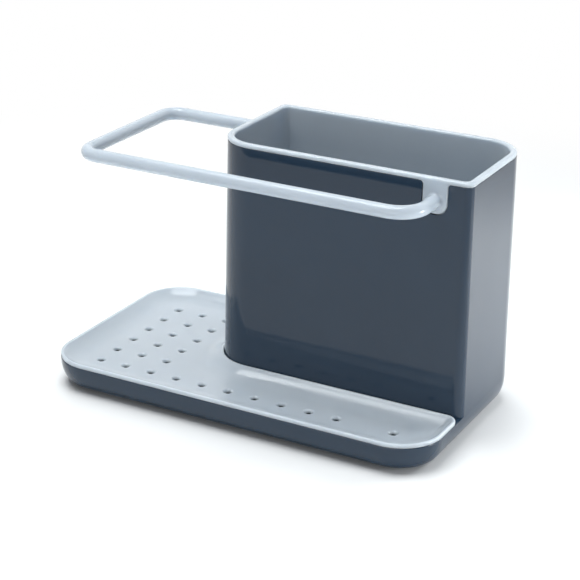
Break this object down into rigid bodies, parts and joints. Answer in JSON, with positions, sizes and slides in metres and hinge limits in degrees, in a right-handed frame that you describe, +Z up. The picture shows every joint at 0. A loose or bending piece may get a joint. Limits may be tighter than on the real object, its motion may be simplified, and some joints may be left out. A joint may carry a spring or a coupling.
{
  "type": "kitchen sink caddy",
  "caption": "Dark L-shaped sink caddy: a tall rounded tower with a pale lift-out liner and cloth rail, beside a low base with a pale perforated draining tray.",
  "frame": {"origin": "on the worktop, under the middle of the base's outline, level with the undersides of the feet", "axes": "+X along the length towards the tower's end, +Y to the back, +Z up"},
  "size_m": [0.208, 0.116, 0.13],
  "materials": {
    "dark_body": "glossy injection-moulded ABS, dark blue-grey",
    "pale_insert": "semi-gloss injection-moulded polypropylene, pale cool grey",
    "foot": "soft matt moulded rubber"
  },
  "bodies": {
    "base": {"main_body": "dark_body", "foot_front_left": "foot", "foot_back_left": "foot", "foot_front_right": "foot", "foot_back_right": "foot"},
    "liner": {"liner": "pale_insert"},
    "tray": {"draining_tray": "pale_insert"}
  },
  "joints": [
    {"name": "liner_lift", "type": "slide", "parent": "base", "child": "liner", "axis": [0, 0, 1], "range_m": [0, 0.13]},
    {"name": "tray_lift", "type": "slide", "parent": "base", "child": "tray", "axis": [0, 0, 1], "range_m": [0, 0.09]}
  ]
}
